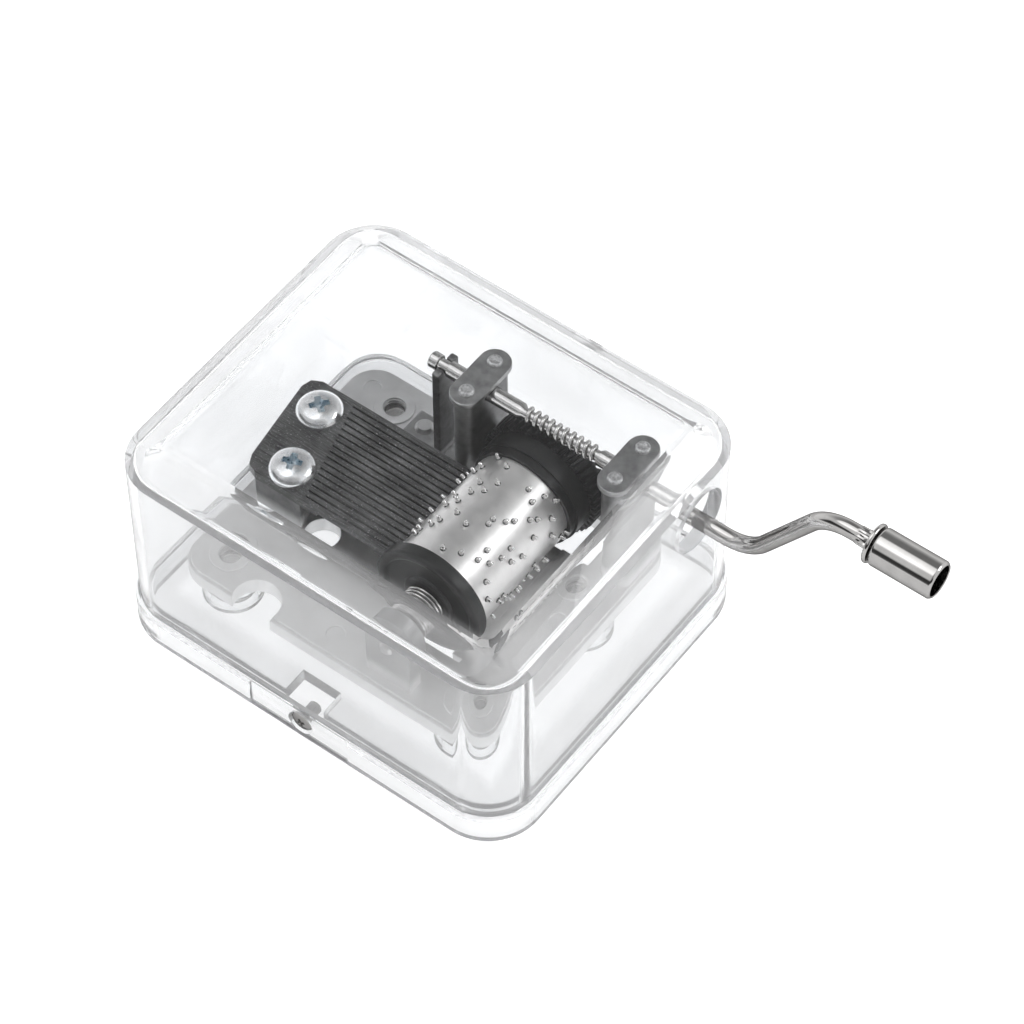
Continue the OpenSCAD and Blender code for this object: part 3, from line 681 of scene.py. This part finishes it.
# %% Rivets and threaded holes
POST_TOP, CAP_T, RIVET_OFF = 26.3506, 0.9, 2.9
STUD = [(0, 0.36), (0.3, 0.38), (0.55, 0.46), (0.78, 0.44), (0.95, 0.3), (1.0, 0.12),
        (1.0, -0.02), (0.78, -0.02), (0.78, -2.6), (0, -2.6)]
rivets = bmesh.new()
for x in POST_X:
    for side in (-RIVET_OFF, RIVET_OFF):
        join(rivets, aim(lathe(STUD, 28), UP, (x, SHAFT_Y + side, POST_TOP + CAP_T)))
studs = finish_mesh(rivets, "cap_rivet_heads", "case", "zinc_casting", 40, replaces=("cap_rivets",))
studs.data.materials[0] = rivet_finish


def helix(coil_r, wire_r, pitch, turns, per_turn=40, sides=10):
    """A round wire wound up along Z."""
    bm = bmesh.new()
    ring = bmesh.ops.create_circle(bm, cap_ends=False, segments=sides, radius=wire_r)["verts"]
    bmesh.ops.rotate(bm, cent=(0, 0, 0), matrix=Matrix.Rotation(math.pi / 2, 3, "X"), verts=ring)
    bmesh.ops.translate(bm, vec=(coil_r, 0, 0), verts=ring)
    bmesh.ops.spin(bm, geom=bm.verts[:] + bm.edges[:], cent=(0, 0, 0), axis=(0, 0, 1),
                   dvec=(0, 0, pitch / per_turn), angle=2 * math.pi * turns, steps=int(per_turn * turns))
    bmesh.ops.holes_fill(bm, edges=[e for e in bm.edges if e.is_boundary])
    bmesh.ops.recalc_face_normals(bm, faces=bm.faces)
    return bm


threads = bmesh.new()
for at in MOUNTS:
    turns = helix(coil_r=1.5, wire_r=0.16, pitch=0.42, turns=2, per_turn=32, sides=8)
    join(threads, aim(turns, UP, (*at, 8.2)))
print("thread faces:", len(threads.faces))
# the threads take the darker plated-steel finish, as painted shade in the hole
finish_mesh(threads, "hole_threads_painted_shade", "case", "dark_steel", 60)

# %% [markdown]
# ## Drum, pins and spring
# Each pin is a short peg with a broken edge, a shallow dimple in its end and a small
# fillet at its foot. One peg is turned, then copied to its place on every track. The
# damping spring is a real helix: a small ring swept round and along at once.

# %% Pins
DRUM_MID, DRUM_L = 0.95, 17.5
TRACKS, COMB_W, STEPS = 18, 16.4, 64
PEG = [(radius, DRUM_R + out) for radius, out in (
    (0, 0.62), (0.12, 0.65), (0.17, 0.75), (0.22, 0.74),
    (0.27, 0.64), (0.26, 0.16), (0.4, 0.01), (0.4, -0.1))]
comb_y0 = DRUM_MID + 0.5 - COMB_W / 2
pins = bmesh.new()
count = 0
for track in range(TRACKS):
    row = 4 + (track * 5 + 2) % 5
    for j in range(row):
        step = (track * 23 + j * (STEPS // row) + (j * j * 3 + track) % 5) % STEPS
        turn = Matrix.Rotation(step * 2 * math.pi / STEPS, 3, "Y")
        at = (DRUM_X, comb_y0 + (track + 0.5) * COMB_W / TRACKS, DRUM_Z)
        peg = lathe(PEG, 12)
        bmesh.ops.rotate(peg, cent=(0, 0, 0), matrix=turn, verts=peg.verts)
        bmesh.ops.translate(peg, vec=at, verts=peg.verts)
        join(pins, peg)
        count += 1
print("pins:", count, "faces:", len(pins.faces))
finish_mesh(pins, "melody_pins", "drum", "pin_steel", 40, replaces=("drum_pins",))

# %% Sleeve, end cap and spring
ALONG_DRUM, CAP_W = (0, 1, 0), 2.0
drum_y0 = DRUM_MID - DRUM_L / 2
sleeve = lathe([(6.3, 0), (6.8, 0), (6.87, 0.04), (6.9, 0.12), (6.9, 17.38), (6.87, 17.46),
                (6.8, 17.5), (6.3, 17.5), (6.3, 0)], 128)
finish_mesh(aim(sleeve, ALONG_DRUM, (DRUM_X, drum_y0, DRUM_Z)), "pinned_tube", "drum",
            "drum_nickel", 40, replaces=("drum_sleeve",))

disc = lathe([(1.0, CAP_W), (6.28, CAP_W), (7.55, CAP_W), (7.72, 1.93), (7.8, 1.75), (7.8, 0.45),
              (7.72, 0.2), (7.5, 0.06), (7.2, 0.0), (6.75, 0.02), (6.55, 0.12), (6.35, 0.4),
              (6.1, 0.5), (3.9, 0.5), (3.7, 0.42), (3.6, 0.2), (3.45, 0.06), (3.2, 0.0),
              (1.0, 0.0), (1.0, CAP_W)], 96)
finish_mesh(aim(disc, ALONG_DRUM, (DRUM_X, drum_y0 - CAP_W, DRUM_Z)), "end_cap_disc", "drum",
            "black_plastic", 40, replaces=("drum_end_cap",))

coil = helix(coil_r=2.52, wire_r=0.24, pitch=0.5, turns=7)
finish_mesh(aim(coil, (0, -1, 0), (DRUM_X, drum_y0 - CAP_W - 0.28, DRUM_Z)), "damping_spring", "drum",
            "nickel", 60, replaces=("arbor_spring",))

# %% [markdown]
# ## Crank and handle
# The crank is one wire: a ring of points is pushed along the shaft, spun round each
# bend and pushed on again, so the bends stay round. The fluted squeeze that stops
# the washer is made by drawing every third point of two rings inwards. Past it the
# wire is made round again, because the handle turns on that part.

# %% Crank wire
WIRE_R, SHOULDER_R, GROOVE_R, ROOT_R = 1.1, 1.02, 0.8, 0.72
SPINDLE_R, SPINDLE_L = 1.0, 3.3
BEND_R, BEND, BEND_X = 6.5, math.radians(56), 33.85
GRIP_Z, WASHER_X = 40.3006, 53.87                    # the handle's axis, and the washer
ARM_L = (GRIP_Z - SHAFT_Z - 2 * BEND_R * (1 - math.cos(BEND))) / math.sin(BEND)
GRIP_X = BEND_X + 2 * BEND_R * math.sin(BEND) + ARM_L * math.cos(BEND)
FORK_X = POST_X[0] - 6.1
ROOT_START, ROOT_END = 3.5, 14.7                     # the thinner stretch that carries the thread


def loop_at(bm, x, radius):
    """A ring of points round the shaft."""
    ring = bmesh.ops.create_circle(bm, cap_ends=False, segments=40, radius=radius)["verts"]
    bmesh.ops.rotate(bm, cent=(0, 0, 0), matrix=Matrix.Rotation(math.pi / 2, 3, "Y"), verts=ring)
    bmesh.ops.translate(bm, vec=(x, SHAFT_Y, SHAFT_Z), verts=ring)
    return list({e for v in ring for e in v.link_edges})


def push(bm, rim, step, scale=1.0):
    """Extrude a ring by a step and scale the new ring about its middle."""
    out = bmesh.ops.extrude_edge_only(bm, edges=rim)["geom"]
    verts = [g for g in out if isinstance(g, bmesh.types.BMVert)]
    bmesh.ops.translate(bm, vec=step, verts=verts)
    middle = sum((v.co for v in verts), Vector()) / len(verts)
    bmesh.ops.scale(bm, vec=(scale,) * 3, space=Matrix.Translation(-middle), verts=verts)
    return [g for g in out if isinstance(g, bmesh.types.BMEdge)], verts


def swing(bm, rim, centre, angle):
    """Spin a ring round a bend's centre."""
    verts = list({v for e in rim for v in e.verts})
    out = bmesh.ops.spin(bm, geom=verts + rim, cent=centre, axis=(0, -1, 0), dvec=(0, 0, 0),
                         angle=angle, steps=16)
    return [g for g in out["geom_last"] if isinstance(g, bmesh.types.BMEdge)]


wire = bmesh.new()
start = loop_at(wire, BEND_X, WIRE_R)
rim, here, radius = start, BEND_X, WIRE_R
SHAFT_PATH = (                                       # places along the shaft, with the radius at each
    (ROOT_END + 0.5, WIRE_R), (ROOT_END, ROOT_R), (ROOT_START, ROOT_R), (ROOT_START - 0.5, WIRE_R),
    (FORK_X + 1.38, WIRE_R), (FORK_X + 1.3, SHOULDER_R), (FORK_X + 1.3, GROOVE_R),
    (FORK_X - 0.2, GROOVE_R), (FORK_X - 0.2, SHOULDER_R), (FORK_X - 0.28, WIRE_R),
    (FORK_X - 1.35, WIRE_R), (FORK_X - 1.5, 0.95))
for x, r in SHAFT_PATH:
    rim, _ = push(wire, rim, (x - here, 0, 0), r / radius)
    here, radius = x, r
bmesh.ops.edgeloop_fill(wire, edges=rim)
rim = swing(wire, start, (BEND_X, SHAFT_Y, SHAFT_Z + BEND_R), BEND)
rim, _ = push(wire, rim, (ARM_L * math.cos(BEND), 0, ARM_L * math.sin(BEND)))
rim = swing(wire, rim, (GRIP_X, SHAFT_Y, GRIP_Z - BEND_R), -BEND)
CRIMP = ((WASHER_X - 2.1 - GRIP_X, False), (0.3, True), (1.3, True), (0.25, False), (0.25, False))
for step, squeeze in CRIMP:
    rim, verts = push(wire, rim, (step, 0, 0))
    if squeeze:
        ring = sorted(verts, key=lambda v: math.atan2(v.co.z - GRIP_Z, v.co.y - SHAFT_Y))
        flutes = ring[::3]
        middle = Matrix.Translation((-verts[0].co.x, -SHAFT_Y, -GRIP_Z))
        bmesh.ops.scale(wire, vec=(1, 1.08, 1.02), space=middle, verts=verts)
        bmesh.ops.scale(wire, vec=(1, 0.93, 0.93), space=middle, verts=flutes)
rim, verts = push(wire, rim, (0.02, 0, 0))
grip_axis = Vector((SHAFT_Y, GRIP_Z))
for v in verts:
    v.co.yz = grip_axis + (v.co.yz - grip_axis).normalized() * SPINDLE_R
rim, _ = push(wire, rim, (SPINDLE_L, 0, 0))
bmesh.ops.edgeloop_fill(wire, edges=rim)
bmesh.ops.remove_doubles(wire, verts=wire.verts, dist=1e-4)
bmesh.ops.recalc_face_normals(wire, faces=wire.faces)
print("crank wire faces:", len(wire.faces), "open edges:", sum(e.is_boundary for e in wire.edges))
crank = finish_mesh(wire, "crank_wire", "crank", "nickel", 40, replaces=("crank_shaft",))
crank.data.materials[0] = wire_finish

# %% [markdown]
# ## The worm
# The thread is rolled into the wire, so its crest is round and a helix of round
# wire has the right look. It has to mesh: a quarter twist starts it where the solid
# thread starts, and without that it would run through the wheel's teeth.

# %% Worm
ALONG_SHAFT, QUARTER = (1, 0, 0), math.pi / 2
THREAD_START, THREAD_END = DRUM_X - 2.97, DRUM_X + 7.29
THREAD_R, WORM_PITCH = 0.93, 1.08
worm_turns = (THREAD_END - THREAD_START) / WORM_PITCH
worm_coil = helix(coil_r=THREAD_R, wire_r=0.27, pitch=WORM_PITCH, turns=worm_turns, sides=12)
aim(worm_coil, ALONG_SHAFT, (THREAD_START, SHAFT_Y, SHAFT_Z), QUARTER)
worm = finish_mesh(worm_coil, "worm_coil", "crank", "nickel", 60, replaces=("worm_thread",))
worm.data.materials[0] = thread_finish
print("worm turns:", round(worm_turns, 2))

# %% [markdown]
# ## Handle and washer
# The handle is a thin cup drawn from sheet, with a bright broken edge at its mouth.
# Both it and the washer are round about one axis, so their profiles are spun.

# %% Handle and washer
HANDLE_X = 54.72
cup = lathe([(1.04, 0.0), (2.2, 0.0), (2.38, 0.05), (2.48, 0.18), (2.5, 0.35), (2.5, 8.12), (2.45, 8.24),
             (2.28, 8.45), (2.2, 8.5), (2.1, 8.5), (2.03, 8.44), (2.0, 8.3), (2.0, 1.4), (1.9, 1.25),
             (1.04, 1.2), (1.04, 0.0)], 72)
finish_mesh(aim(cup, ALONG_SHAFT, (HANDLE_X, SHAFT_Y, GRIP_Z)), "handle_cup", "handle", "nickel", 35,
            replaces=("handle",))
ring = lathe([(SPINDLE_R, 0), (2.45, 0), (2.55, 0.08), (2.59, 0.2), (2.59, 0.35), (2.55, 0.47),
              (2.45, 0.55), (SPINDLE_R, 0.55), (SPINDLE_R, 0)], 64)
finish_mesh(aim(ring, ALONG_SHAFT, (WASHER_X, SHAFT_Y, GRIP_Z)), "grip_washer", "crank", "nickel", 35,
            replaces=("handle_washer",))
print("handle starts at mm:", HANDLE_X, "washer at mm:", WASHER_X)

# %% [markdown]
# ## The stage
# A white sheet and soft light all round. The sheet reads as white to the camera and
# to the rays that pass through the plastic, but keeps the soft contact shadow.

# %% Floor, world and lamps
SHEET_CAMERA, SHEET_GLOSS, SHEET_GLASS = 0.7, 0.1, 1.0       # the sheet's glow for each kind of ray
ROOM = 0.85                                          # the even light from all round


def studio_floor():
    bm = bmesh.new()
    bmesh.ops.create_grid(bm, x_segments=1, y_segments=1, size=3.0)
    mesh = bpy.data.meshes.new("floor")
    bm.to_mesh(mesh)
    bm.free()
    obj = bpy.data.objects.new("floor", mesh)
    bpy.context.scene.collection.objects.link(obj)
    obj.location.z = -0.0002
    f = Finish("white_sheet", Roughness=0.9)
    f.shader.inputs["Base Color"].default_value = (0.85, 0.85, 0.85, 1)
    path = f.node("ShaderNodeLightPath")
    by_camera = Value(f, path.outputs["Is Camera Ray"])
    by_gloss = Value(f, path.outputs["Is Glossy Ray"])
    by_glass = Value(f, path.outputs["Is Transmission Ray"])
    glow = f.node("ShaderNodeEmission", Strength=1.0)
    white = by_camera * SHEET_CAMERA + by_gloss * SHEET_GLOSS + by_glass * SHEET_GLASS
    f.feed(glow.inputs["Color"], f.ramp(white, (0.0, grey(0.0)), (1.0, grey(1.0))))
    both = f.node("ShaderNodeAddShader")
    f.tree.links.new(f.shader.outputs[0], both.inputs[0])
    f.tree.links.new(glow.outputs[0], both.inputs[1])
    f.tree.links.new(both.outputs[0], f.out.inputs[0])
    obj.data.materials.append(f.material)


def studio_world():
    """Even light from all round, with brighter and dimmer patches in what is mirrored."""
    world = bpy.data.worlds.new("studio")
    bpy.context.scene.world = world
    world.use_nodes = True
    sky = Book(world.node_tree, "Generated")

    def patch(direction, start, full, amount):
        """A soft round patch: it starts at one nearness to a direction and is full at another."""
        return sky.spread(sky.facing(direction), start, full, 0.0, amount, "SMOOTHSTEP")

    behind = patch((-0.36, 0.48, 0.8), 0.7, 0.98, 0.62)
    front = patch((0.36, -0.6, 0.6), 0.75, 0.97, 0.5)
    low_left = patch((-0.8, 0.4, 0.35), 0.8, 0.97, 0.15)
    overhead = patch((-0.36, -0.08, 0.93), 0.9, 0.965, 1.1)
    height, forward = sky.facing((0, 0, 1)), sky.facing((0, -1, 0))
    above_floor = sky.spread(height, 0.05, 0.15, 0.0, 1.0, "SMOOTHSTEP")
    below_roof = sky.spread(height, 0.44, 0.58, 1.0, 0.0, "SMOOTHSTEP")
    flag = above_floor * below_roof * sky.spread(forward, 0.25, 0.5, 0.0, 0.8, "SMOOTHSTEP")
    horizon = sky.spread(height, 0.0, 0.3, 0.12, 0.0)
    patches = low_left + overhead + horizon - behind - front - flag
    path = sky.node("ShaderNodeLightPath")
    camera_ray = Value(sky, path.outputs["Is Camera Ray"])
    glossy_ray = Value(sky, path.outputs["Is Glossy Ray"])
    mirrored = glossy_ray.at_least(Value(sky, path.outputs["Is Transmission Ray"]))
    level = (ROOM + mirrored * patches).at_least(0.05)
    back = world.node_tree.nodes["Background"]
    back.inputs["Color"].default_value = (1, 1, 1, 1)
    sky.feed(back.inputs["Strength"], level * (1 - camera_ray) + camera_ray)


def softbox(name, place, target, size, watts):
    lamp = bpy.data.lights.new(name, "AREA")
    lamp.shape = "RECTANGLE"
    lamp.size, lamp.size_y = size
    lamp.energy = watts
    obj = bpy.data.objects.new(name, lamp)
    obj.location = place
    obj.rotation_euler = (Vector(target) - Vector(place)).to_track_quat("-Z", "Y").to_euler()
    bpy.context.scene.collection.objects.link(obj)


studio_floor()
studio_world()
softbox("key", place=(0.51, 0.38, 0.48), target=(0, 0, 0.02), size=(0.32, 0.32), watts=1.1)
bpy.context.scene.view_settings.view_transform = "Standard"
for kind in ("max_bounces", "transmission_bounces", "glossy_bounces"):
    setattr(bpy.context.scene.cycles, kind, 32)      # a ray crosses many walls of the clear case
print("lamps:", len(bpy.data.lights))
